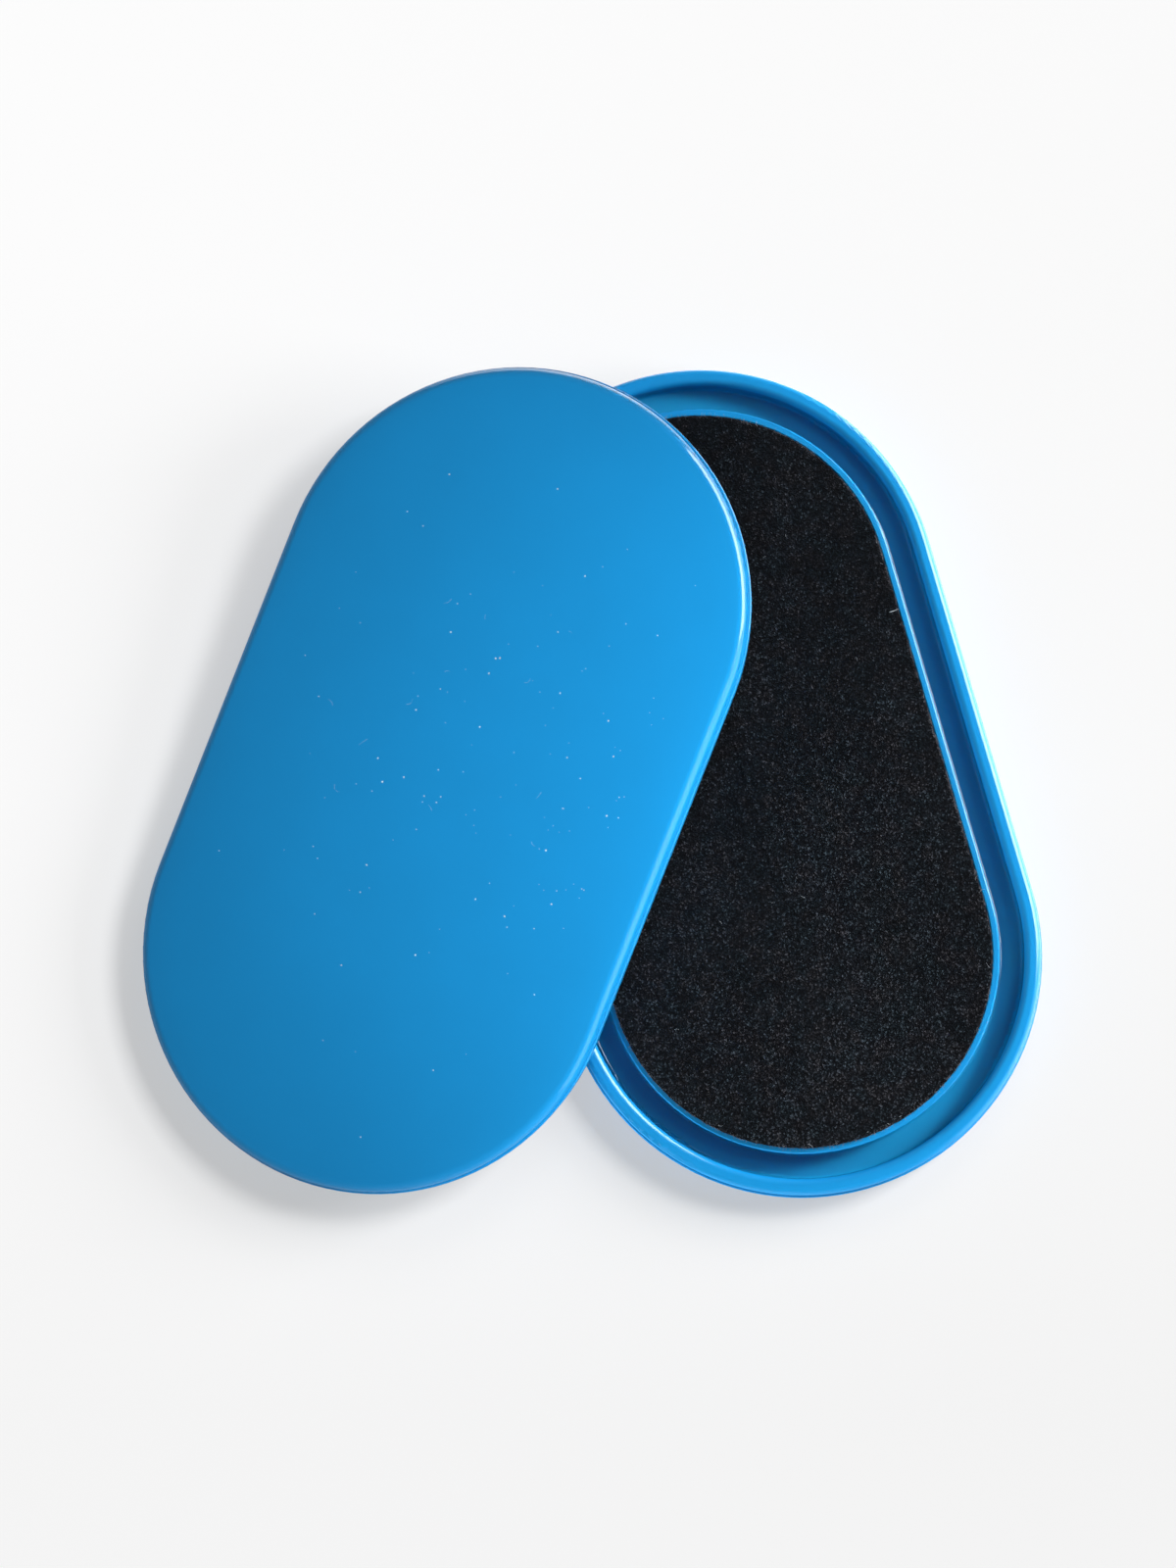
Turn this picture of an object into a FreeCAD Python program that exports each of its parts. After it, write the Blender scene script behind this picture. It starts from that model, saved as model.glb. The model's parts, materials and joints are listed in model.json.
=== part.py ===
"""Magnetic glass cleaner: two equal handheld halves, modelled piece by piece.

Each half is a racetrack-shaped case: a glossy shell, and a tray that closes it with a raised
rim, an open channel and a pedestal that holds the cleaning pad. Magnets sit right behind the
pad, backed by a steel keeper plate, and a tongue-and-groove joint with a rubber ring keeps
water out. The outer half lies on its shell with its pad up, and the inner half leans on its
rim, pad down.

Row frame: millimetres, +Z up. The origin is the centre of the outer half's flat shell face,
+Y runs along that half, and the face rests on the plane z = 0.
"""

import math
import os

import FreeCAD
import Part
from FreeCAD import Rotation, Vector

# ---- the case -----------------------------------------------------------------------------
case_width = 100.0          # across the parting lip
case_length = 176.4         # over both round ends of the parting lip
case_height = 10.0          # shell face to the top of the rim

# ---- shell --------------------------------------------------------------------------------
shell_wall = 1.5            # face and side wall
shell_draft = 0.25          # the side wall leans in by this much towards the face
face_crown = 0.25           # height lost between the flat of the face and its shoulder
crown_inset = 6.0           # the flat of the face ends this far inside the parting lip
crown_blend = 100.0         # radius that eases the flat into the crown
shoulder_radius = 2.1
cavity_radius = 1.2         # inside corner between face and side wall
lip_width = 0.4             # the parting lip stands out from the side wall by this much
lip_height = 1.0
lip_radius = 0.3
tongue_thickness = 1.1      # upstand of the shell that enters the tray's groove
tongue_height = 2.4

# ---- tray ---------------------------------------------------------------------------------
rim_height = 5.6            # of the rim above the parting plane
rim_width = 3.4
rim_setback = 0.6           # from the parting lip's edge to the rim's outer face
rim_outer_radius = 1.2
rim_inner_radius = 1.4
channel_width = 5.05        # between the rim and the pedestal
channel_depth = 4.8         # below the top of the rim
channel_radius = 0.7
rib_width = 1.55            # of the pedestal's edge, around the pad
rib_drop = 0.4              # the edge stands this much lower than the rim
rib_radius = 0.35
tray_floor = 1.4
fit_gap = 0.05              # between pieces that slide into each other

# ---- pads ---------------------------------------------------------------------------------
pad_gap = 0.4               # around the pad, inside the pedestal's edge
pad_thickness = 2.2
pad_proud = 0.6             # the pad stands out of the rim by this much
pad_edge_radius = 0.5
backing_thickness = 0.5     # hook sheet between the pad and the tray
backing_inset = 0.8         # inside the pad's edge

# ---- seal ---------------------------------------------------------------------------------
seal_height = 0.8
seal_radius = 0.25

# ---- magnets and what holds them -----------------------------------------------------------
magnet_count = 4            # in a row along the half
magnet_width = 25.0         # across the half
magnet_length = 20.0        # along the half
magnet_height = 3.0
magnet_chamfer = 0.3
magnet_pitch = 27.0         # from one magnet's centre to the next one's
carrier_border = 3.5        # carrier material around the magnets
carrier_corner = 4.0
carrier_notch_radius = 2.5  # finger notches beside each magnet, for pushing it out
keeper_thickness = 0.8
keeper_inset = 0.8          # the keeper plate stays this far inside the carrier's outline
fence_thickness = 1.2       # wall on the shell that locates carrier, keeper and cushion
fence_gap = 0.2
fence_headroom = 0.4        # between the top of the fence and the tray

# ---- screws, which the pad covers ----------------------------------------------------------
screw_inset = 18.5          # from the parting lip's edge to the screws' line
screw_spread = 64.0         # between the two screws on each long side
screw_head_radius = 2.7
screw_head_height = 1.1
screw_shank_radius = 1.45
screw_length = 5.6          # over all
screw_point = 1.2
screw_slot_width = 0.7
screw_slot_length = 2.8
screw_slot_depth = 0.6
boss_radius = 3.2
boss_foot = 0.6             # solid foot of a boss under its hole
boss_gusset_reach = 3.4     # gussets run from the boss towards the side wall
boss_gusset_thickness = 1.0
boss_gusset_drop = 1.8      # from the top of the boss to the top of its gussets

# ---- how the inner half leans on the outer one ----------------------------------------------
fan_angle = 37.8            # between the long axes of the two halves
lean_span = 83.1            # level distance from the floor contact to the rim that carries it
lean_slide = 16.4           # the inner half's centre lies this far towards +Y
lean_clearance = 0.3        # between the inner pad and the outer rim

# ---- sizes that follow ----------------------------------------------------------------------
lip_r = case_width / 2
straight = case_length - case_width
parting_z = case_height - rim_height

rim_outer_r = lip_r - rim_setback
rim_inner_r = rim_outer_r - rim_width
pedestal_r = rim_inner_r - channel_width
recess_r = pedestal_r - rib_width
pad_r = recess_r - pad_gap

channel_z = case_height - channel_depth
rib_top_z = case_height - rib_drop
pad_top_z = case_height + pad_proud
backing_top_z = pad_top_z - pad_thickness
recess_z = backing_top_z - backing_thickness
recess_under_z = recess_z - tray_floor

tongue_outer_r = rim_outer_r - (rim_width - tongue_thickness) / 2
tongue_inner_r = tongue_outer_r - tongue_thickness
tongue_top_z = parting_z + tongue_height
seal_top_z = tongue_top_z + seal_height

carrier_width = magnet_width + 2 * carrier_border
carrier_length = magnet_pitch * (magnet_count - 1) + magnet_length + 2 * carrier_border
carrier_z = recess_under_z - magnet_height
keeper_z = carrier_z - keeper_thickness


# ---- drawing helpers --------------------------------------------------------------------------
def outline(points):
    """Closed wire in the XZ plane through (x, z, corner radius) points."""
    corners = []
    count = len(points)
    for i, (x, z, radius) in enumerate(points):
        here = Vector(x, 0, z)
        if radius == 0:
            corners.append((here, None, here))
            continue
        before = Vector(points[i - 1][0], 0, points[i - 1][1])
        after = Vector(points[(i + 1) % count][0], 0, points[(i + 1) % count][1])
        back = (before - here).normalize()
        ahead = (after - here).normalize()
        half = back.getAngle(ahead) / 2
        run = radius / math.tan(half)
        centre = here + (back + ahead).normalize() * (radius / math.sin(half))
        middle = centre + (here - centre).normalize() * radius
        corners.append((here + back * run, middle, here + ahead * run))
    edges = []
    for i, (start, middle, end) in enumerate(corners):
        if middle is not None:
            edges.append(Part.Arc(start, middle, end).toShape())
        following = corners[(i + 1) % count][0]
        if end.distanceToPoint(following) > 1e-7:
            edges.append(Part.LineSegment(end, following).toShape())
    return Part.Wire(edges)


def racetrack(points):
    """Solid whose half section, drawn as (distance from the centre line, height, corner
    radius), is run along the straight sides and turned round both ends."""
    section = Part.Face(outline(points))
    pieces = []
    for turn in (0, 180):
        side = section.copy()
        side.translate(Vector(0, -straight / 2, 0))
        side = side.extrude(Vector(0, straight, 0))
        end = section.copy()
        end.translate(Vector(0, straight / 2, 0))
        end = end.revolve(Vector(0, straight / 2, 0), Vector(0, 0, 1), 180)
        for piece in (side, end):
            piece.rotate(Vector(0, 0, 0), Vector(0, 0, 1), turn)
            pieces.append(piece)
    return pieces[0].fuse(pieces[1:]).removeSplitter()


def slab(width, length, bottom, height, corner=0.0):
    """Upright box centred on the origin, with its upright edges rounded."""
    box = Part.makeBox(width, length, height, Vector(-width / 2, -length / 2, bottom))
    if corner:
        upright = [e for e in box.Edges if abs(e.Vertexes[0].Z - e.Vertexes[-1].Z) > height / 2]
        box = box.makeFillet(corner, upright)
    return box


def post(radius, bottom, top, x=0.0, y=0.0):
    return Part.makeCylinder(radius, top - bottom, Vector(x, y, bottom))


def magnet_stations():
    first = -magnet_pitch * (magnet_count - 1) / 2
    return [first + i * magnet_pitch for i in range(magnet_count)]


def screw_stations():
    """Centres of the screws: two on each long side and one in each round end."""
    line_r = lip_r - screw_inset
    sides = [(sx * line_r, sy * screw_spread / 2) for sx in (-1, 1) for sy in (-1, 1)]
    ends = [(0.0, sy * (straight / 2 + line_r)) for sy in (-1, 1)]
    return sides + ends


# ---- shell ------------------------------------------------------------------------------------
def make_shell():
    side_r = lip_r - lip_width
    face_r = side_r - shell_draft
    cavity_r = tongue_inner_r
    lip_under_z = parting_z - lip_height
    case = racetrack([
        (0, 0, 0),
        (lip_r - crown_inset, 0, crown_blend),
        (face_r, face_crown, shoulder_radius),
        (side_r, lip_under_z, 0),
        (lip_r, lip_under_z, lip_radius),
        (lip_r, parting_z, lip_radius),
        (tongue_outer_r, parting_z, 0),
        (tongue_outer_r, tongue_top_z, lip_radius),
        (tongue_inner_r, tongue_top_z, lip_radius),
        (cavity_r, shell_wall + face_crown, cavity_radius),
        (lip_r - crown_inset, shell_wall, 0),
        (0, shell_wall, 0),
    ])
    bosses = [make_boss(x, y) for x, y in screw_stations()]
    shell = case.fuse(bosses + [make_fence()])
    holes = [
        post(screw_shank_radius + fit_gap, shell_wall + boss_foot, recess_under_z, x, y)
        for x, y in screw_stations()
    ]
    return shell.cut(holes).removeSplitter()


def make_boss(x, y):
    """Screw boss that stands on the face, with two gussets at its foot."""
    boss = post(boss_radius, shell_wall / 2, recess_under_z, x, y)
    gusset_top = recess_under_z - boss_gusset_drop
    reach = boss_radius + boss_gusset_reach
    for turn in (0, 90):
        gusset = Part.makeBox(
            2 * reach, boss_gusset_thickness, gusset_top - shell_wall / 2,
            Vector(-reach, -boss_gusset_thickness / 2, shell_wall / 2),
        )
        slope = Part.Face(Part.makePolygon([
            Vector(boss_radius, 0, gusset_top),
            Vector(reach, 0, gusset_top),
            Vector(reach, 0, shell_wall),
            Vector(boss_radius, 0, gusset_top),
        ]))
        slope.translate(Vector(0, -boss_gusset_thickness, 0))
        trim = slope.extrude(Vector(0, 2 * boss_gusset_thickness, 0))
        for side in (0, 180):
            cutter = trim.copy()
            cutter.rotate(Vector(0, 0, 0), Vector(0, 0, 1), side)
            gusset = gusset.cut(cutter)
        gusset.rotate(Vector(0, 0, 0), Vector(0, 0, 1), turn)
        gusset.translate(Vector(x, y, 0))
        boss = boss.fuse(gusset)
    return boss


def make_fence():
    """Rectangular wall on the inside of the face around the magnet stack."""
    inside_width = carrier_width + 2 * fence_gap
    inside_length = carrier_length + 2 * fence_gap
    top = recess_under_z - fence_headroom
    bottom = shell_wall / 2
    corner = carrier_corner + fence_gap
    fence = slab(
        inside_width + 2 * fence_thickness, inside_length + 2 * fence_thickness,
        bottom, top - bottom, corner + fence_thickness,
    )
    return fence.cut(slab(inside_width, inside_length, bottom, top - bottom, corner))


# ---- tray -------------------------------------------------------------------------------------
def make_tray():
    groove_outer_r = tongue_outer_r + fit_gap
    groove_inner_r = tongue_inner_r - fit_gap
    channel_under_z = channel_z - tray_floor
    tray = racetrack([
        (0, recess_under_z, 0),
        (recess_r, recess_under_z, 0),
        (recess_r, channel_under_z, 0),
        (groove_inner_r, channel_under_z, 0),
        (groove_inner_r, seal_top_z, 0),
        (groove_outer_r, seal_top_z, 0),
        (groove_outer_r, parting_z, 0),
        (rim_outer_r, parting_z, 0),
        (rim_outer_r, case_height, rim_outer_radius),
        (rim_inner_r, case_height, rim_inner_radius),
        (rim_inner_r, channel_z, channel_radius),
        (pedestal_r, channel_z, channel_radius),
        (pedestal_r, rib_top_z, rib_radius),
        (recess_r, rib_top_z, rib_radius),
        (recess_r, recess_z, 0),
        (0, recess_z, 0),
    ])
    cone_bottom = recess_z - screw_head_height
    holes = []
    for x, y in screw_stations():
        clearance_r = screw_shank_radius + fit_gap
        holes.append(post(clearance_r, recess_under_z, recess_z, x, y))
        holes.append(Part.makeCone(
            clearance_r, screw_head_radius + fit_gap, screw_head_height,
            Vector(x, y, cone_bottom),
        ))
    return tray.cut(holes)


# ---- inside the case ----------------------------------------------------------------------------
def make_seal_ring():
    """Rubber ring in the tray's groove, pressed by the shell's tongue."""
    return racetrack([
        (tongue_inner_r, tongue_top_z, 0),
        (tongue_outer_r, tongue_top_z, 0),
        (tongue_outer_r, seal_top_z, seal_radius),
        (tongue_inner_r, seal_top_z, seal_radius),
    ])


def make_magnet(y):
    block = Part.makeBox(
        magnet_width, magnet_length, magnet_height,
        Vector(-magnet_width / 2, y - magnet_length / 2, carrier_z),
    )
    return block.makeChamfer(magnet_chamfer, block.Edges)


def make_carrier():
    """Plastic frame with a window for each magnet."""
    carrier = slab(carrier_width, carrier_length, carrier_z, magnet_height, carrier_corner)
    cutters = []
    for y in magnet_stations():
        window = slab(
            magnet_width + 2 * fit_gap, magnet_length + 2 * fit_gap, carrier_z, magnet_height,
        )
        window.translate(Vector(0, y, 0))
        cutters.append(window)
        for side in (-1, 1):
            cutters.append(post(
                carrier_notch_radius, carrier_z, recess_under_z, side * magnet_width / 2, y,
            ))
    return carrier.cut(cutters)


def make_keeper_plate():
    return slab(
        carrier_width - 2 * keeper_inset, carrier_length - 2 * keeper_inset,
        keeper_z, keeper_thickness, carrier_corner - keeper_inset,
    )


def make_cushion_sheet():
    """Foam sheet that presses the keeper plate and the magnets against the tray."""
    return slab(carrier_width, carrier_length, shell_wall, keeper_z - shell_wall, carrier_corner)


def make_screw(x, y):
    """Countersunk self-tapping screw with a cross recess, head level with the recess floor."""
    head_bottom = recess_z - screw_head_height
    tip = recess_z - screw_length
    head = Part.makeCone(
        screw_shank_radius, screw_head_radius, screw_head_height, Vector(x, y, head_bottom),
    )
    shank = post(screw_shank_radius, tip + screw_point, head_bottom, x, y)
    point = Part.makeCone(0, screw_shank_radius, screw_point, Vector(x, y, tip))
    screw = head.fuse([shank, point])
    for turn in (0, 90):
        slot = slab(
            screw_slot_width, screw_slot_length, recess_z - screw_slot_depth, screw_slot_depth,
        )
        slot.rotate(Vector(0, 0, 0), Vector(0, 0, 1), turn)
        slot.translate(Vector(x, y, 0))
        screw = screw.cut(slot)
    return screw


# ---- pads -------------------------------------------------------------------------------------
def make_pad_backing():
    backing_r = pad_r - backing_inset
    return racetrack([
        (0, recess_z, 0),
        (backing_r, recess_z, 0),
        (backing_r, backing_top_z, 0),
        (0, backing_top_z, 0),
    ])


def make_pad():
    return racetrack([
        (0, backing_top_z, 0),
        (pad_r, backing_top_z, 0),
        (pad_r, pad_top_z, pad_edge_radius),
        (0, pad_top_z, 0),
    ])


# ---- one half, and the pose of the inner one -----------------------------------------------------
def make_half(prefix, pad_name):
    """Sub-parts of one half, lying on its shell face with the pad up."""
    parts = {
        prefix + "_shell": make_shell(),
        prefix + "_tray": make_tray(),
        prefix + "_seal_ring": make_seal_ring(),
        prefix + "_magnet_carrier": make_carrier(),
        prefix + "_keeper_plate": make_keeper_plate(),
        prefix + "_cushion_sheet": make_cushion_sheet(),
        prefix + "_screws": Part.makeCompound([make_screw(x, y) for x, y in screw_stations()]),
        prefix + "_pad_backing": make_pad_backing(),
        prefix + "_" + pad_name: make_pad(),
    }
    for number, y in enumerate(magnet_stations(), start=1):
        parts[f"{prefix}_magnet_{number}"] = make_magnet(y)
    return parts


def lean():
    """Placement that turns a half over and leans it on the outer half.

    The turned half touches the floor with the round edge of its rim, and its pad lies on the
    round edge of the outer half's long side. Both edges are arcs of rim_outer_radius, so the
    tilt follows from the line between their centres.
    """
    edge_z = case_height - rim_outer_radius
    edge_r = rim_outer_r - rim_outer_radius
    rise = edge_z - rim_outer_radius
    below = pad_top_z - edge_z + lean_clearance + rim_outer_radius
    tilt = math.atan2(rise, lean_span) + math.asin(below / math.hypot(lean_span, rise))
    reach = edge_r + straight / 2 * math.sin(math.radians(fan_angle))
    centre = Vector(
        -edge_r - lean_span + reach * math.cos(tilt),
        lean_slide,
        rim_outer_radius + reach * math.sin(tilt),
    )
    turn = (
        Rotation(Vector(0, 1, 0), -math.degrees(tilt))
        * Rotation(Vector(0, 0, 1), -fan_angle)
        * Rotation(Vector(0, 1, 0), 180)
    )
    return FreeCAD.Placement(centre - turn.multVec(Vector(0, 0, edge_z)), turn)


def main():
    os.makedirs("parts", exist_ok=True)
    nodes = make_half("outer", "felt_pad")
    leaning = lean()
    for name, shape in make_half("inner", "scrub_pad").items():
        nodes[name] = shape.transformed(leaning.toMatrix())
    for name, shape in nodes.items():
        shape.exportStep(f"parts/{name}.step")


main()
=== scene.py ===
"""Dressed scene of a pair of magnetic glass cleaner halves: one lies pad up, the other leans on it.

All lengths are in metres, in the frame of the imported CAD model. Sizes of the halves are read
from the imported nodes; only finishes, the pads' pile, fibres, dust and the studio are made here.
"""

import json
import math

import bpy
import numpy as np
from mathutils import Matrix, Vector, noise

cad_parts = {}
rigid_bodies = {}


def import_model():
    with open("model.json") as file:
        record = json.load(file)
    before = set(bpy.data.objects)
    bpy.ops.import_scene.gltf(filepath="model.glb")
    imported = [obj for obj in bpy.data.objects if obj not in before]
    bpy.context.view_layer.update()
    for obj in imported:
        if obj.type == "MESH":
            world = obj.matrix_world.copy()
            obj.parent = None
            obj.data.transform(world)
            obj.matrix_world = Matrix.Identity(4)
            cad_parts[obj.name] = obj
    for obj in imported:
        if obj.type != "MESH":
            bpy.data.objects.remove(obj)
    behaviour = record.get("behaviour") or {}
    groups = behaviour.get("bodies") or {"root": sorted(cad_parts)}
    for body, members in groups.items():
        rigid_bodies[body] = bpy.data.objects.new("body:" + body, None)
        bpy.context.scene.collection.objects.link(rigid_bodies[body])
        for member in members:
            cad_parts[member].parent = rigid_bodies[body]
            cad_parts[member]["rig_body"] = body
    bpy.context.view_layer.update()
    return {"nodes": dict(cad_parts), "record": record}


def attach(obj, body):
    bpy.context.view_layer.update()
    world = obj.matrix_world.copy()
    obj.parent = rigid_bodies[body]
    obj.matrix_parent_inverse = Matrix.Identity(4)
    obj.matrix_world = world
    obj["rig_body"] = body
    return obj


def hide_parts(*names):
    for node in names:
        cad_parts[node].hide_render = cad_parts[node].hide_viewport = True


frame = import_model()

MM = 0.001


# ---- half poses -----------------------------------------------------------------------------
def mesh_arrays(name):
    """Vertices and triangles of a CAD node, at rest."""
    mesh = frame["nodes"][name].data
    co = np.empty(len(mesh.vertices) * 3)
    mesh.vertices.foreach_get("co", co)
    mesh.calc_loop_triangles()
    tri = np.empty(len(mesh.loop_triangles) * 3, int)
    mesh.loop_triangles.foreach_get("vertices", tri)
    return co.reshape(-1, 3), tri.reshape(-1, 3)


class Half:
    """Axes and sizes of one half, measured on its pad and shell.

    x runs across the half, y along it, and z out of the pad. The origin is the centre of the
    pad's top face.
    """

    def __init__(self, pad, shell):
        co, tri = mesh_arrays(pad)
        a, b, c = (co[tri[:, i]] for i in range(3))
        area = np.linalg.norm(np.cross(b - a, c - a), axis=1) / 2
        centre = ((a + b + c) / 3 * area[:, None]).sum(0) / area.sum()
        second = sum(
            np.einsum("n,ni,nj->ij", area, p - centre, q - centre) * (2 if p is q else 1)
            for p in (a, b, c) for q in (a, b, c)
        )
        _, axes = np.linalg.eigh(second)
        z, along = axes[:, 0], axes[:, 2]
        shell_co, _ = mesh_arrays(shell)
        if z @ (centre - shell_co.mean(0)) < 0:
            z = -z
        if along[1] < 0:
            along = -along
        across = np.cross(along, z)
        local = (co - centre) @ np.stack([across, along, z], 1)
        low, high = local.min(0), local.max(0)
        middle = (low + high) / 2
        middle[2] = high[2]
        origin = centre + np.stack([across, along, z], 1) @ middle
        self.matrix = Matrix([
            [across[i], along[i], z[i], origin[i]] for i in range(3)
        ] + [[0, 0, 0, 1]])
        size = high - low
        self.pad_radius = size[0] / 2
        self.straight = size[1] - size[0]
        self.pad_thickness = size[2]
        self.shell_low = ((shell_co - origin) @ z).min()
        self.shell_radius = np.abs((shell_co - origin) @ across).max()

    def point(self, x, y, z):
        return self.matrix @ Vector((x, y, z))


outer = Half("outer_felt_pad", "outer_shell")
inner = Half("inner_scrub_pad", "inner_shell")


# ---- node helpers ---------------------------------------------------------------------------
class Tree:
    """A material's node tree, built in short calls. Textures are laid out in metres."""

    def __init__(self, name):
        self.material = bpy.data.materials.new(name)
        self.material.use_nodes = True
        self.tree = self.material.node_tree
        self.shader = self.tree.nodes["Principled BSDF"]
        self.place = self.tree.nodes.new("ShaderNodeTexCoord").outputs["Object"]

    def node(self, kind, **values):
        made = self.tree.nodes.new(kind)
        for key, value in values.items():
            setattr(made, key, value)
        return made

    def link(self, source, target):
        self.tree.links.new(source, target)

    def noise(self, scale, detail=2.0, roughness=0.5, place=None):
        made = self.node("ShaderNodeTexNoise")
        made.inputs["Scale"].default_value = scale
        made.inputs["Detail"].default_value = detail
        made.inputs["Roughness"].default_value = roughness
        self.link(place or self.place, made.inputs["Vector"])
        return made.outputs["Fac"]

    def cells(self, scale):
        """Outputs of a cell texture: the distance to the cell's middle, and a tone for each."""
        made = self.node("ShaderNodeTexVoronoi")
        made.inputs["Scale"].default_value = scale
        self.link(self.place, made.inputs["Vector"])
        return made.outputs

    def along(self, way):
        """How far a spot lies along that direction."""
        made = self.node("ShaderNodeVectorMath", operation="DOT_PRODUCT")
        self.link(self.place, made.inputs[0])
        made.inputs[1].default_value = way
        return made.outputs["Value"]

    def squeezed(self, x, y, z):
        """Texture places, scaled along each axis."""
        made = self.node("ShaderNodeMapping")
        made.inputs["Scale"].default_value = (x, y, z)
        self.link(self.place, made.inputs["Vector"])
        return made.outputs["Vector"]

    def remap(self, value, low, high, to_low, to_high):
        made = self.node("ShaderNodeMapRange")
        for name, number in (
            ("From Min", low), ("From Max", high), ("To Min", to_low), ("To Max", to_high),
        ):
            made.inputs[name].default_value = number
        self.link(value, made.inputs["Value"])
        return made.outputs["Result"]

    def ramp(self, value, *stops):
        """Colour for a value, from stops of (value, colour)."""
        made = self.node("ShaderNodeValToRGB")
        elements = made.color_ramp.elements
        for _ in range(len(stops) - 2):
            elements.new(0.5)
        for element, (position, colour) in zip(elements, stops):
            element.position = position
            element.color = (*colour, 1)
        self.link(value, made.inputs["Fac"])
        return made.outputs["Color"]

    def math(self, operation, a, b=0.0):
        made = self.node("ShaderNodeMath", operation=operation)
        for socket, value in zip(made.inputs, (a, b)):
            if isinstance(value, (int, float)):
                socket.default_value = value
            else:
                self.link(value, socket)
        return made.outputs["Value"]

    def bump(self, height, distance, under=None):
        """Normals of a relief of that depth, on top of the normals under it."""
        made = self.node("ShaderNodeBump")
        made.inputs["Distance"].default_value = distance
        made.inputs["Strength"].default_value = 1.0
        self.link(height, made.inputs["Height"])
        if under:
            self.link(under, made.inputs["Normal"])
        return made.outputs["Normal"]

    def set(self, **values):
        """Sets inputs of the shader itself, named with underscores for spaces."""
        for key, value in values.items():
            self.shader.inputs[key.replace("_", " ")].default_value = value

    def wire(self, **sources):
        """Feeds inputs of the shader from nodes."""
        for key, source in sources.items():
            self.link(source, self.shader.inputs[key.replace("_", " ")])


BLUE = (0.008, 0.270, 0.630)
CHANNEL_SHADE_BLUE = (0.009, 0.255, 0.500)     # painted shade: the lower half's open channel is coloured darker and greener than the rest


def shade(colour, factor):
    """The colour, darker or lighter by that factor."""
    return tuple(c * factor for c in colour)


def gloss_shell():
    """Polished moulded plastic: slight flow waves, faint haze and hairline scratches."""
    t = Tree("gloss_blue_shell")
    t.wire(Base_Color=t.ramp(
        t.noise(28, 3), (0.3, shade(BLUE, 0.965)), (0.7, shade(BLUE, 1.035)),
    ))
    haze = t.remap(t.noise(45, 4, 0.6), 0.35, 0.7, 0.07, 0.12)
    t.wire(Roughness=haze)
    waves = t.bump(t.noise(16, 1.0), 0.00008)
    scratches = t.bump(t.noise(900, 2, place=t.squeezed(1, 0.03, 1)), 0.000004, under=waves)
    t.wire(Normal=scratches)
    t.set(IOR=1.48)
    return t.material


def satin_tray():
    """Semi-gloss moulded plastic: fine mould grain, softer reflections than the shell's, and
    painted shade that colours its low channel a darker blue.
    """
    t = Tree("blue_tray")
    height = t.node("ShaderNodeSeparateXYZ")
    t.link(t.place, height.inputs["Vector"])
    # painted shade: below the bead's height the tray turns to the darker channel blue
    above_painted_shade = t.remap(height.outputs["Z"], 6 * MM, 9 * MM, 0.0, 1.0)
    mottle = t.remap(t.noise(35, 3), 0.3, 0.7, -0.06, 0.06)
    t.wire(Base_Color=t.ramp(t.math("ADD", above_painted_shade, mottle), (0.0, CHANNEL_SHADE_BLUE), (1.0, BLUE)))
    t.wire(Roughness=t.remap(t.noise(60, 3), 0.3, 0.7, 0.13, 0.18))
    flow = t.bump(t.noise(22, 1.5), 0.00008)
    t.wire(Normal=t.bump(t.noise(2600, 2), 0.000006, under=flow))
    t.set(IOR=1.48)
    return t.material


def pile(name, light, sheen_way):
    """Black short-pile cloth: every fibre tip has its own tone, from black to grey, and a
    slight tint. A painted sheen makes it paler towards one end."""
    t = Tree(name)
    tips = t.cells(3500)
    patches = t.math("SUBTRACT", t.noise(55, 3, 0.6), 0.5)
    # painted sheen: the pile turns paler along one direction across the pad
    painted_sheen = t.remap(t.along(sheen_way), -0.06, 0.08, -0.06, 0.05)
    grain = t.math("ADD", tips["Color"], t.math("MULTIPLY", patches, 0.25))
    grain = t.math("ADD", grain, painted_sheen)
    tone = t.ramp(
        grain,
        (0.20, (0.0010, 0.0012, 0.0015)),
        (0.50, (0.0034, 0.0039, 0.0048)),
        (0.75, (0.0115 * light, 0.0131 * light, 0.0155 * light)),
        (0.97, (0.0600 * light, 0.0660 * light, 0.0760 * light)),
    )
    dye = t.ramp(
        t.noise(330, 2),
        (0.35, (0.97, 0.88, 0.87)), (0.5, (0.85, 0.93, 1.0)), (0.65, (0.72, 0.93, 1.0)),
    )
    tint = t.node("ShaderNodeMix", data_type="RGBA", blend_type="MULTIPLY")
    tint.inputs["Factor"].default_value = 1.0
    t.link(tone, tint.inputs[6])
    t.link(dye, tint.inputs[7])
    t.wire(Base_Color=tint.outputs[2])
    clumps = t.bump(t.noise(420, 2), 0.0002)
    t.wire(Normal=t.bump(tips["Distance"], 0.00018, under=clumps))
    t.set(Roughness=0.95, Sheen_Weight=0.05, Sheen_Roughness=0.5, IOR=1.35)
    t.shader.inputs["Sheen Tint"].default_value = (0.7, 0.8, 1.0, 1)
    return t.material


def fibre(name, dark, light):
    """Loose threads, from dark to light along their length."""
    t = Tree(name)
    t.wire(Base_Color=t.ramp(t.noise(700, 1), (0.38, dark), (0.62, light)))
    t.set(Roughness=0.6)
    return t.material


def plain(name, colour, roughness, metal=0.0, grain=300, depth=0.00003, spread=0.1):
    """Procedural stock finish for pieces inside the case."""
    t = Tree(name)
    t.wire(Base_Color=t.ramp(
        t.noise(grain / 6, 3), (0.3, shade(colour, 1 - spread)), (0.7, shade(colour, 1 + spread)),
    ))
    t.wire(Roughness=t.remap(t.noise(grain / 4, 3), 0.3, 0.7, roughness - 0.06, roughness + 0.06))
    t.wire(Normal=t.bump(t.noise(grain, 2), depth))
    t.set(Metallic=metal)
    return t.material


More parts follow.
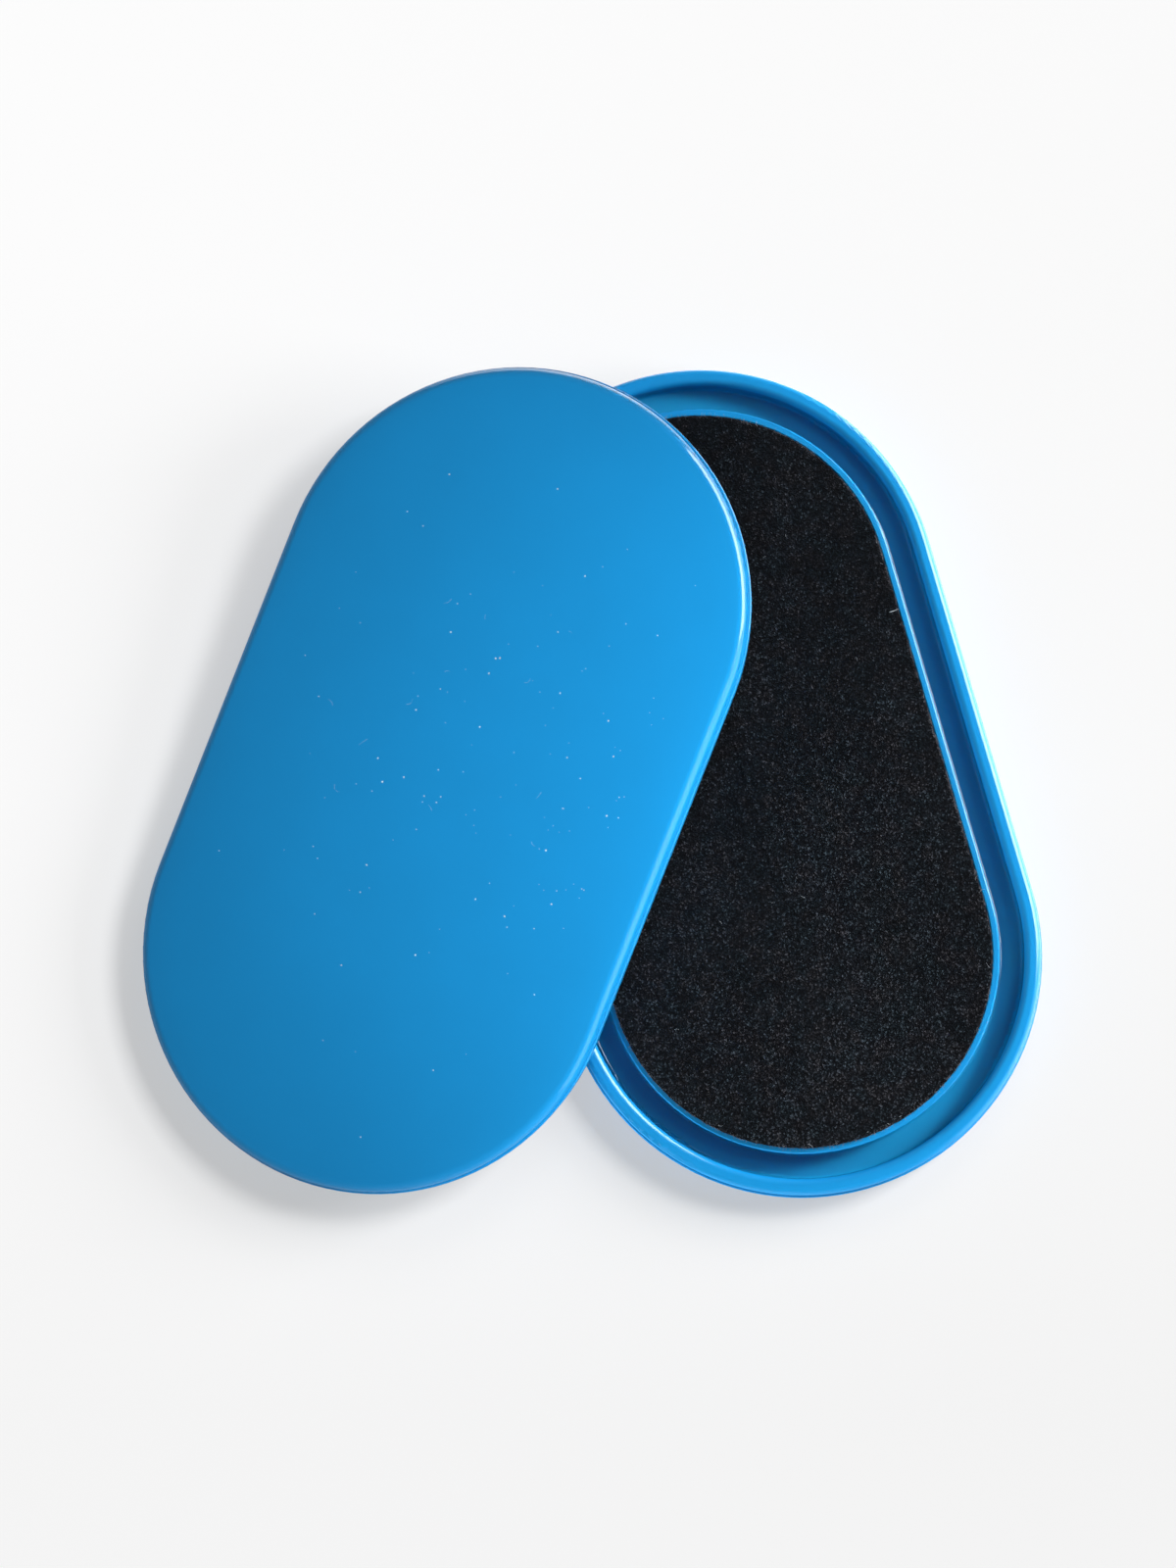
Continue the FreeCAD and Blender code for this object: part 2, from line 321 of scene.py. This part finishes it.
def brushed(name, colour, roughness):
    """Metal with fine lines along y."""
    t = Tree(name)
    lines = t.noise(400, 4, 0.6, place=t.squeezed(1, 0.03, 1))
    t.wire(Base_Color=t.ramp(lines, (0.3, shade(colour, 0.85)), (0.7, colour)))
    t.wire(Roughness=t.remap(lines, 0.3, 0.7, roughness, roughness + 0.15))
    t.wire(Normal=t.bump(lines, 0.00002))
    t.set(Metallic=1.0)
    return t.material


def foam():
    """Closed-cell foam."""
    t = Tree("foam")
    cells = t.cells(1500)["Distance"]
    t.wire(Base_Color=t.ramp(cells, (0.1, (0.10, 0.10, 0.10)), (0.6, (0.035, 0.035, 0.036))))
    t.wire(Normal=t.bump(cells, 0.0003))
    t.set(Roughness=0.9)
    return t.material


def hooks():
    """Moulded sheet of tiny hooks."""
    t = Tree("hook_backing")
    dots = t.cells(900)["Distance"]
    t.wire(Base_Color=t.ramp(dots, (0.1, (0.055, 0.055, 0.058)), (0.5, (0.018, 0.018, 0.02))))
    t.wire(Normal=t.bump(dots, 0.0004))
    t.set(Roughness=0.55)
    return t.material


finishes = {
    "gloss_blue_shell": gloss_shell(),
    "blue_tray": satin_tray(),
    # the last value of each pile is the direction in which its painted sheen grows paler
    "black_felt": pile("black_felt", 1.0, (-0.79, -0.61, 0)),
    "black_scrub_fleece": pile("black_scrub_fleece", 0.9, (0.2, -0.97, 0)),
    "hook_backing": hooks(),
    "black_rubber": plain("black_rubber", (0.02, 0.02, 0.021), 0.6, grain=900),
    "black_plastic": plain("black_plastic", (0.03, 0.03, 0.032), 0.42),
    "foam": foam(),
    "nickel_plated_magnet": plain(
        "nickel_plated_magnet", (0.72, 0.70, 0.66), 0.18, 1.0, 200, 0.00001, 0.04,
    ),
    "zinc_plated_steel": brushed("zinc_plated_steel", (0.60, 0.62, 0.64), 0.3),
    "screw_steel": brushed("screw_steel", (0.55, 0.55, 0.55), 0.25),
}
pale_lint = fibre("pale_lint", (0.50, 0.57, 0.63), (0.80, 0.88, 0.95))
pile_fibre = fibre("pile_fibre", (0.010, 0.012, 0.016), (0.21, 0.23, 0.26))

slots = {s["node"]: s["material_slot"] for s in frame["record"]["subparts"]}
for name, node in frame["nodes"].items():
    node.data.materials.clear()
    node.data.materials.append(finishes[slots[name]])


CREASE = 28                     # degrees; faces that meet at less are shaded as one
WAY_STEPS = 400                 # normals that agree to 1/400 belong to one flat,
LEVEL_STEPS = 50000             # if their planes agree to 1/50000 of a metre
SAME_SPOT = 2e-6                # vertices this close are one


def groups(rows):
    """Number of the group of equal rows that each row belongs to, once rounded."""
    _, group = np.unique(np.round(rows).astype(np.int64), axis=0, return_inverse=True)
    return group.ravel()


def even_shading(name):
    """Corner normals that follow the moulded faces: flats stay flat, and fillets run into them.

    Each corner takes the normals of its neighbours within the crease angle, weighted by the
    area of the whole flat that each neighbour belongs to.
    """
    mesh = frame["nodes"][name].data
    co, _ = mesh_arrays(name)
    tri = np.stack([[p.vertices[i] for i in range(3)] for p in mesh.polygons])
    a, b, c = (co[tri[:, i]] for i in range(3))
    normal = np.cross(b - a, c - a)
    double_area = np.maximum(np.linalg.norm(normal, axis=1), 1e-15)
    normal /= double_area[:, None]
    offset = (normal * a).sum(1)
    flat = groups(np.column_stack([normal * WAY_STEPS, offset * LEVEL_STEPS]))
    weight = np.bincount(flat, double_area)[flat]
    spot = groups(co / SAME_SPOT)[tri].ravel()
    meeting = [[] for _ in range(spot.max() + 1)]
    for corner, place in enumerate(spot):
        meeting[place].append(corner)
    corner_normal = np.zeros((len(tri) * 3, 3))
    limit = math.cos(math.radians(CREASE))
    for corners in meeting:
        if corners:
            corners = np.array(corners)
            n, w = normal[corners // 3], weight[corners // 3]
            corner_normal[corners] = ((n @ n.T > limit) * w) @ n
    corner_normal /= np.linalg.norm(corner_normal, axis=1)[:, None]
    for polygon in mesh.polygons:
        polygon.use_smooth = True
    mesh.normals_split_custom_set([tuple(n) for n in corner_normal])


BLUE_PIECES = ("outer_shell", "outer_tray", "inner_shell", "inner_tray")
for name in BLUE_PIECES:
    even_shading(name)


# ---- mesh helpers ---------------------------------------------------------------------------
def new_object(name, vertices, faces, material, body):
    """Smooth mesh object that rides on that body."""
    mesh = bpy.data.meshes.new(name)
    mesh.from_pydata(vertices, [], faces)
    mesh.materials.append(material)
    mesh.polygons.foreach_set("use_smooth", [True] * len(mesh.polygons))
    mesh.update()
    made = bpy.data.objects.new(name, mesh)
    bpy.context.scene.collection.objects.link(made)
    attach(made, body)
    return made


def track_loop(half, radius, count_round, count_straight):
    """Points on a racetrack of that radius round the half's centre line, anticlockwise."""
    points = []
    s = half.straight / 2
    for sign in (1, -1):
        for i in range(count_round):
            angle = math.pi * i / count_round
            points.append((sign * radius * math.cos(angle), sign * (s + radius * math.sin(angle))))
        for i in range(count_straight):
            points.append((-sign * radius, sign * (s - 2 * s * i / count_straight)))
    return points


def smooth_noise(x, y, scale, seed):
    """Noise over the plane from about -1 to 1, with that many waves a metre."""
    return noise.noise(Vector((x * scale, y * scale, seed)))


# ---- pads -----------------------------------------------------------------------------------
PILE_OVERHANG = 0.62 * MM       # of the pile past the CAD pad's outline
PILE_EDGE = 0.35 * MM           # radius of the pile's edge
PILE_SINK = 0.15 * MM           # the pile's mean level lies this far under the CAD pad's top
PILE_DEPTH = -0.6 * MM          # above this level the pad is rough
ROUGHNESS = 0.10 * MM           # of the pile, fine and coarse alike
FELT_SHIFT = Vector((-0.27, -0.15, 0)) * MM     # how far each pile leans, seen from above
SCRUB_SHIFT = Vector((0, 0, 0))


def make_pad(half, name, node, body, material, seed, shift):
    """Pad as concentric rings: a pile top with clumps, and a frayed edge that overhangs the
    recess. The whole pile is moved sideways by shift."""
    step = 0.8 * MM
    around = int(math.pi * half.pad_radius / step)
    along = int(half.straight / step)
    foot = half.pad_radius - 0.1 * MM
    radius = half.pad_radius + PILE_OVERHANG
    profile = [
        (foot - 0.1 * MM, -half.pad_thickness + 0.02 * MM), (foot, -1.6 * MM), (foot, -0.9 * MM),
    ]
    profile += [
        (radius - PILE_EDGE * (1 - math.cos(a)), -PILE_EDGE * (1 - math.sin(a)) - PILE_SINK)
        for a in (math.radians(d) for d in (0, 25, 50, 72, 90))
    ]
    inward = int((radius - PILE_EDGE) / step)
    profile += [((radius - PILE_EDGE) * (1 - i / inward), -PILE_SINK) for i in range(1, inward)]
    vertices, faces = [], []
    for r, z in profile:
        for x, y in track_loop(half, r, around, along):
            if z > PILE_DEPTH:
                rough = smooth_noise(x, y, 900, seed) * ROUGHNESS
                clumps = smooth_noise(x, y, 220, seed + 7) * ROUGHNESS
                z_here = min(z + rough + clumps, -0.01 * MM)
                if r > radius - PILE_EDGE * 0.9:
                    over = math.copysign(max(abs(y) - half.straight / 2, 0), y)
                    fray = 1 + (smooth_noise(x, y, 700, seed + 3) * 0.16 - 0.04) * MM / r
                    x, y = x * fray, y + over * (fray - 1)
                vertices.append(half.point(x, y, z_here) + shift)
            else:
                vertices.append(half.point(x, y, z))
    count = 2 * (around + along)
    for ring in range(len(profile) - 1):
        for i in range(count):
            j = (i + 1) % count
            faces.append((
                ring * count + i, ring * count + j, (ring + 1) * count + j, (ring + 1) * count + i,
            ))
    last = (len(profile) - 1) * count
    faces.append(tuple(last + i for i in range(count)))
    faces.append(tuple(reversed(range(count))))
    made = new_object(name, vertices, faces, material, body)
    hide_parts(node)


make_pad(
    outer, "outer_felt_pile", "outer_felt_pad", "outer_half",
    finishes["black_felt"], 3.0, FELT_SHIFT,
)
make_pad(
    inner, "inner_scrub_pile", "inner_scrub_pad", "inner_half",
    finishes["black_scrub_fleece"], 11.0, SCRUB_SHIFT,
)


# ---- fibres, lint and dust --------------------------------------------------------------------
FIBRES = 6500                   # along the edge of each pad
FIBRE_WIDTH = 0.045 * MM
LINT_ON_EDGE = 34
LINT_ON_FACE = 16
DUST_TRIES = 260                # of which about half stay, most of them at the upper right
SHELL_HAIRS = 12
SPECK_SIDES = 6
SPECK_SINK = 0.002 * MM         # each speck of dust starts this far inside the face


def strand(points, width, vertices, faces):
    """Adds a three-sided strand that tapers to its tip."""
    base = len(vertices)
    count = len(points)
    for i, p in enumerate(points):
        ahead = points[min(i + 1, count - 1)] - points[max(i - 1, 0)]
        side = ahead.cross(Vector((0.3, 0.5, 0.8))).normalized()
        other = ahead.cross(side).normalized()
        w = width * (1 - 0.6 * i / (count - 1)) / 2
        for k in range(3):
            a = 2 * math.pi * k / 3
            vertices.append(p + side * (w * math.cos(a)) + other * (w * math.sin(a)))
    for i in range(count - 1):
        for k in range(3):
            m = (k + 1) % 3
            this, after = base + 3 * i, base + 3 * i + 3
            faces.append((this + k, this + m, after + m, after + k))
    faces.append((base, base + 2, base + 1))
    tip = base + 3 * (count - 1)
    faces.append((tip, tip + 1, tip + 2))


def edge_fibres(half, name, body, seed, shift):
    """Loose pile fibres that stand out along the pad's edge and lie over the rib beside it."""
    random = np.random.default_rng(seed)
    vertices, faces = [], []
    loop = track_loop(half, 1.0, 180, 160)
    s = half.straight / 2
    for _ in range(FIBRES):
        x, y = loop[int(random.integers(len(loop)))]
        over = math.copysign(max(abs(y) - s, 0), y)
        outward = Matrix.Rotation(random.normal(0, 0.8), 3, "Z") @ Vector((x, over, 0))
        r = half.pad_radius + PILE_OVERHANG - (0.15 + abs(random.normal(0, 0.3))) * MM
        beside = random.uniform(-0.5, 0.5) * MM
        start = Vector((x * r, y - over + beside + over * r, -random.uniform(0.10, 0.40) * MM))
        length = random.uniform(0.2, 0.65) * MM
        rise = random.uniform(-0.1, 0.35)
        bend = random.uniform(-0.9, 0.9)
        points = []
        for i in range(4):
            u = i / 3
            swing = Matrix.Rotation(bend * u, 3, "Z") @ outward
            p = start + swing * (length * u)
            p.z = max(min(p.z + rise * length * u * (1 - 0.4 * u), -0.005 * MM), -0.5 * MM)
            points.append(half.point(p.x, p.y, p.z) + shift)
        strand(points, FIBRE_WIDTH, vertices, faces)
    new_object(name, vertices, faces, pile_fibre, body)


edge_fibres(outer, "outer_edge_fibres", "outer_half", 5, FELT_SHIFT)
edge_fibres(inner, "inner_edge_fibres", "inner_half", 6, SCRUB_SHIFT)


def curl(half, x, y, z, heading, length, bend, width, vertices, faces):
    """A hair that lies on a face of the half at height z, bent in its plane."""
    points = []
    p = Vector((x, y, z))
    steps = 9
    for i in range(steps):
        wave = 0.03 * MM if i % 2 else 0.015 * MM
        points.append(half.point(p.x, p.y, z + wave))
        heading += bend / steps
        p += Vector((math.cos(heading), math.sin(heading), 0)) * (length / steps)
    strand(points, width, vertices, faces)


def pad_lint(half, name, body, seed, extra=()):
    """Pale lint caught at the pad's edge and a few pieces on its face."""
    random = np.random.default_rng(seed)
    vertices, faces = [], []
    s = half.straight / 2
    for _ in range(LINT_ON_EDGE):
        angle = random.uniform(0, 2 * math.pi)
        side = random.random() < 0.5
        if side:
            sign = 1 if random.random() < 0.5 else -1
            x, y = sign * (half.pad_radius - 0.1 * MM), random.uniform(-s, s)
            heading = math.pi / 2 + random.normal(0, 0.6)
        else:
            r = half.pad_radius - 0.1 * MM
            x = r * math.cos(angle)
            y = r * math.sin(angle) + math.copysign(s, math.sin(angle))
            heading = angle + math.pi / 2 + random.normal(0, 0.6)
        curl(
            half, x, y, -0.16 * MM, heading, random.uniform(0.5, 1.8) * MM,
            random.uniform(-2.2, 2.2), 0.05 * MM, vertices, faces,
        )
    for _ in range(LINT_ON_FACE):
        x = random.uniform(-0.8, 0.8) * half.pad_radius
        y = random.uniform(-1, 1) * (s + 0.5 * half.pad_radius)
        curl(
            half, x, y, -0.10 * MM, random.uniform(0, 6.28), random.uniform(0.4, 1.4) * MM,
            random.uniform(-2.5, 2.5), 0.04 * MM, vertices, faces,
        )
    for x, y, heading, length in extra:
        curl(
            half, x * MM, y * MM, -0.03 * MM, heading, length * MM,
            0.25, 0.13 * MM, vertices, faces,
        )
    new_object(name, vertices, faces, pale_lint, body)


# One longer piece, laid over the outer pad's edge: (x, y, heading, length), in mm.
pad_lint(outer, "outer_pad_lint", "outer_half", 21, ((37.3, 25.0, -0.05, 2.2),))
pad_lint(inner, "inner_pad_lint", "inner_half", 22)


def shell_dust(half, name, body, seed):
    """Specks and short hairs that lie on the glossy face."""
    random = np.random.default_rng(seed)
    vertices, faces = [], []
    face = half.shell_low
    s = half.straight / 2
    reach = half.shell_radius - 10 * MM
    for _ in range(DUST_TRIES):
        r = reach * math.sqrt(random.random())
        angle = random.uniform(0, 2 * math.pi)
        x = r * math.cos(angle)
        y = r * math.sin(angle) + random.uniform(-s, s)
        size = (0.08 + 0.16 * random.random() ** 2) * MM
        if random.random() > 0.55 - 0.45 * x / reach + 0.2 * y / (s + reach):
            continue
        base = len(vertices)
        vertices.append(half.point(x, y, face - size * 0.35))
        for k in range(SPECK_SIDES):
            a = 2 * math.pi * k / SPECK_SIDES + random.uniform(-0.3, 0.3)
            r = size * random.uniform(0.6, 1.1)
            vertices.append(half.point(x + r * math.cos(a), y + r * math.sin(a), face + SPECK_SINK))
        for k in range(SPECK_SIDES):
            faces.append((base, base + 1 + k, base + 1 + (k + 1) % SPECK_SIDES))
    for _ in range(SHELL_HAIRS):
        x = random.uniform(-0.8, 0.8) * reach
        y = random.uniform(-1, 1) * s
        curl(
            half, x, y, face - 0.05 * MM, random.uniform(0, 6.28), random.uniform(1.0, 2.6) * MM,
            random.uniform(-2.5, 2.5), 0.04 * MM, vertices, faces,
        )
    new_object(name, vertices, faces, pale_lint, body)


shell_dust(inner, "inner_shell_dust", "inner_half", 31)

# ---- camera ---------------------------------------------------------------------------------
IMAGE_TURN = math.radians(15.67)        # from +Y to the image's up, clockwise from above
LEAN_DOWN = math.radians(5.72)          # of the camera, towards the image's foot
LEAN_RIGHT = math.radians(3.05)         # and towards its right
CAMERA_DISTANCE = 0.713
SENSOR_WIDTH = 36
VIEW_HEIGHT = 0.325733                  # of the upright image, at the target
IMAGE_UP = Vector((math.sin(IMAGE_TURN), math.cos(IMAGE_TURN), 0))
IMAGE_RIGHT = Vector((IMAGE_UP.y, -IMAGE_UP.x, 0))
target = Vector((-0.0326, 0.0078, 0.010))
back = (
    Vector((0, 0, 1)) - IMAGE_UP * math.tan(LEAN_DOWN) + IMAGE_RIGHT * math.tan(LEAN_RIGHT)
).normalized()

camera_data = bpy.data.cameras.new("camera")
camera_data.sensor_fit = "AUTO"
camera_data.sensor_width = SENSOR_WIDTH
camera_data.lens = SENSOR_WIDTH * CAMERA_DISTANCE / VIEW_HEIGHT
camera_data.clip_start = 0.01
camera = bpy.data.objects.new("camera", camera_data)
side = IMAGE_UP.cross(back).normalized()
up = back.cross(side)
eye = target + back * CAMERA_DISTANCE
camera.matrix_world = Matrix([
    [side[i], up[i], back[i], eye[i]] for i in range(3)
] + [[0, 0, 0, 1]])
bpy.context.scene.collection.objects.link(camera)
bpy.context.scene.camera = camera

# ---- studio ---------------------------------------------------------------------------------
stand = Vector((target.x, target.y, 0))


def around_stand(degrees, reach, height):
    """Place at that level distance from the stand, at an angle above image-right."""
    angle = math.radians(degrees)
    way = IMAGE_RIGHT * math.cos(angle) + IMAGE_UP * math.sin(angle)
    return stand + way * reach + Vector((0, 0, height))


# Lamps that light the floor and throw the shadows: (place, watts).
FLOOR_LAMPS = (
    (around_stand(26, 0.50, 0.60), 5.4),
    (around_stand(60, 0.33, 0.33), 0.6),
    (around_stand(10, 0.38, 0.18), 2.1),
)
# Softboxes, one group for each half: (place, aim, side, watts, spread in degrees).
INNER_AIM = stand + IMAGE_RIGHT * 0.03
OUTER_AIM = stand + IMAGE_RIGHT * 0.05
INNER_LAMPS = (
    (around_stand(-20, 0.22, 0.22), INNER_AIM, 0.15, 0.44, 90),
    (around_stand(180, 0.60, 0.02), INNER_AIM, 0.30, 0.45, 140),
    (around_stand(97, 0.60, 0.02), INNER_AIM, 0.30, 0.80, 140),
    (around_stand(-95, 0.60, 0.02), INNER_AIM, 0.30, 0.65, 140),
)
OUTER_LAMPS = (
    (around_stand(22, 0.60, 0.33), OUTER_AIM, 0.15, 1.90, 140),
    (around_stand(22, 0.45, 0.55), OUTER_AIM, 0.15, 0.33, 140),
    (around_stand(22, 0.70, 0.22), OUTER_AIM, 0.30, 4.03, 140),
    (around_stand(-90, 0.60, 0.15), OUTER_AIM, 0.30, 1.61, 140),
    (around_stand(-135, 0.60, 0.15), OUTER_AIM, 0.30, 1.48, 140),
)
# Cards that only the blue gloss mirrors: (name, place, width and height, watts, pieces).
CARDS = (
    ("window", around_stand(28, 0.42, 0.20), (0.46, 0.26), 4.9, BLUE_PIECES),
    ("window_top", around_stand(20, 0.33, 0.37), (0.30, 0.12), 2.0, ("outer_tray",)),
    ("wall", around_stand(-10, 0.90, 0.40), (1.40, 0.70), 5.5, BLUE_PIECES),
)


def area_light(name, place, aim, size, energy, lit, spread=180):
    """Rectangular lamp that lights the pieces of one collection only."""
    data = bpy.data.lights.new(name, "AREA")
    data.shape = "RECTANGLE"
    data.size, data.size_y = size
    data.energy = energy
    data.spread = math.radians(spread)
    lamp = bpy.data.objects.new(name, data)
    lamp.rotation_euler = (aim - place).to_track_quat("-Z", "Y").to_euler()
    lamp.location = place
    bpy.context.scene.collection.objects.link(lamp)
    lamp.light_linking.receiver_collection = lit
    return lamp


def gathered(name, body):
    """Collection of all the pieces that ride on that body."""
    group = bpy.data.collections.new(name)
    for piece in bpy.data.objects:
        if piece.type == "MESH" and piece.get("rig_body") == body:
            group.objects.link(piece)
    return group


ground = bpy.data.collections.new("ground")
for number, (place, watts) in enumerate(FLOOR_LAMPS, start=1):
    area_light(f"floor_lamp_{number}", place, target, (0.2, 0.2), watts, ground)
for body, lamps in (("inner_half", INNER_LAMPS), ("outer_half", OUTER_LAMPS)):
    lit = gathered("lit_" + body, body)
    for number, (place, aim, width, watts, spread) in enumerate(lamps, start=1):
        name = f"{body}_softbox_{number}"
        area_light(name, place, aim, (width, width), watts, lit, spread).visible_glossy = False
for name, place, size, watts, pieces in CARDS:
    gloss = bpy.data.collections.new("mirrors_" + name)
    for piece in pieces:
        gloss.objects.link(frame["nodes"][piece])
    area_light(name, place, target, size, watts, gloss).visible_diffuse = False

SKY_STRENGTH = 0.10             # of the world, as a lamp
ROOM_LEVEL = 0.42               # what gloss reflects near the horizon
CEILING_LEVEL = 0.12            # and overhead


def background(tree, colour, strength):
    """Background node of the world's tree."""
    made = tree.nodes.new("ShaderNodeBackground")
    made.inputs["Color"].default_value = (*colour, 1)
    made.inputs["Strength"].default_value = strength
    return made


def make_world():
    """Even soft light. The camera sees near-white, and gloss sees a room that dims upwards."""
    world = bpy.data.worlds.new("studio")
    bpy.context.scene.world = world
    world.use_nodes = True
    tree = world.node_tree
    sky = tree.nodes["Background"]
    sky.inputs["Color"].default_value = (1, 1, 1, 1)
    sky.inputs["Strength"].default_value = SKY_STRENGTH
    room = background(tree, (1, 1, 1), 1.0)
    seen = background(tree, (0.97, 0.975, 0.98), 1.0)
    direction = tree.nodes.new("ShaderNodeTexCoord")
    height = tree.nodes.new("ShaderNodeSeparateXYZ")
    tree.links.new(direction.outputs["Generated"], height.inputs["Vector"])
    dim = tree.nodes.new("ShaderNodeMapRange")
    for name, number in (
        ("From Min", 0.1), ("From Max", 0.9), ("To Min", ROOM_LEVEL), ("To Max", CEILING_LEVEL),
    ):
        dim.inputs[name].default_value = number
    tree.links.new(height.outputs["Z"], dim.inputs["Value"])
    tree.links.new(dim.outputs["Result"], room.inputs["Strength"])
    path = tree.nodes.new("ShaderNodeLightPath")
    mirrored = tree.nodes.new("ShaderNodeMixShader")
    tree.links.new(path.outputs["Is Glossy Ray"], mirrored.inputs["Fac"])
    tree.links.new(sky.outputs["Background"], mirrored.inputs[1])
    tree.links.new(room.outputs["Background"], mirrored.inputs[2])
    mix = tree.nodes.new("ShaderNodeMixShader")
    tree.links.new(path.outputs["Is Camera Ray"], mix.inputs["Fac"])
    tree.links.new(mirrored.outputs["Shader"], mix.inputs[1])
    tree.links.new(seen.outputs["Background"], mix.inputs[2])
    tree.links.new(mix.outputs["Shader"], tree.nodes["World Output"].inputs["Surface"])


make_world()

PAPER_TOP = 0.972               # brightness of the empty floor, from the image's middle upwards
PAPER_FOOT = 0.905              # and at its foot
LAMP_SHARE = 0.0986             # brightness of a white floor one metre straight under one watt
GLARE = 2.2                     # extra brightness of the floor beside the window, to gloss
GLARE_WAY = 34                  # degrees above image-right
FAR_SIDE = 0.15                 # share of the floor's brightness away from the window, to gloss
SHADOW_DEPTH = 0.40             # share of the floor's brightness that the lamps give


def lamp_share(t, place, power):
    """Brightness that a small lamp aimed at the target gives a white floor."""
    toward = t.node("ShaderNodeVectorMath", operation="SUBTRACT")
    t.link(t.place, toward.inputs[0])
    toward.inputs[1].default_value = place
    facing = t.node("ShaderNodeVectorMath", operation="DOT_PRODUCT")
    t.link(toward.outputs["Vector"], facing.inputs[0])
    facing.inputs[1].default_value = (target - place).normalized()
    length = t.node("ShaderNodeVectorMath", operation="LENGTH")
    t.link(toward.outputs["Vector"], length.inputs[0])
    near = t.math("POWER", length.outputs["Value"], -4.0)
    facing = t.math("MAXIMUM", facing.outputs["Value"], 0.0)
    return t.math("MULTIPLY", t.math("MULTIPLY", near, facing), place.z * power * LAMP_SHARE)


def seen_in_gloss(t, glow):
    """The floor's glow, but for gloss that mirrors the floor: brighter beside the window, and
    dim on the far side of the stand."""
    toward_window = t.along((around_stand(GLARE_WAY, 1.0, 0.0) - stand).normalized())
    near = t.remap(toward_window, 0.0, 0.055, 0.0, GLARE)
    far = t.remap(toward_window, -0.02, 0.02, FAR_SIDE - 1, 0.0)
    mirrored = t.node("ShaderNodeLightPath").outputs["Is Glossy Ray"]
    dimmed = t.math("MULTIPLY", glow, t.math("ADD", 1.0, t.math("MULTIPLY", far, mirrored)))
    return t.math("ADD", dimmed, t.math("MULTIPLY", near, mirrored))


def floor_material():
    """White sweep. Its tone and its own glow even out the near lamps, and shadows stay."""
    t = Tree("white_sweep")
    t.set(Roughness=0.9, Specular_IOR_Level=0.0)
    lamps = 0.0
    for place, watts in FLOOR_LAMPS:
        lamps = t.math("ADD", lamps, lamp_share(t, place, watts))
    tone = t.math("MINIMUM", t.math("DIVIDE", SHADOW_DEPTH, lamps), 0.8)
    t.wire(Base_Color=tone)
    paper = t.remap(t.along(-IMAGE_UP), 0.0, 0.13, PAPER_TOP, PAPER_FOOT)
    lit = t.math("MULTIPLY", tone, t.math("ADD", lamps, SKY_STRENGTH))
    glow = t.math("MAXIMUM", t.math("SUBTRACT", paper, lit), 0.0)
    t.wire(Emission_Strength=seen_in_gloss(t, glow))
    t.set(Emission_Color=(1, 1, 1, 1))
    return t.material


FLOOR_REACH = 3.0               # from the origin to each side of the floor; the lamps suit it
FLOOR_LEVEL = -0.05 * MM        # just under the halves, so that no faces coincide
floor_mesh = bpy.data.meshes.new("floor")
floor_mesh.from_pydata(
    [
        (x * FLOOR_REACH, y * FLOOR_REACH, FLOOR_LEVEL)
        for x, y in ((-1, -1), (1, -1), (1, 1), (-1, 1))
    ],
    [], [(0, 1, 2, 3)],
)
floor = bpy.data.objects.new("floor", floor_mesh)
bpy.context.scene.collection.objects.link(floor)
floor_mesh.materials.append(floor_material())
ground.objects.link(floor)

scene = bpy.context.scene
scene.view_settings.view_transform = "Standard"
scene.cycles.sample_clamp_indirect = 1.0        # stray bright paths else leave pale spots
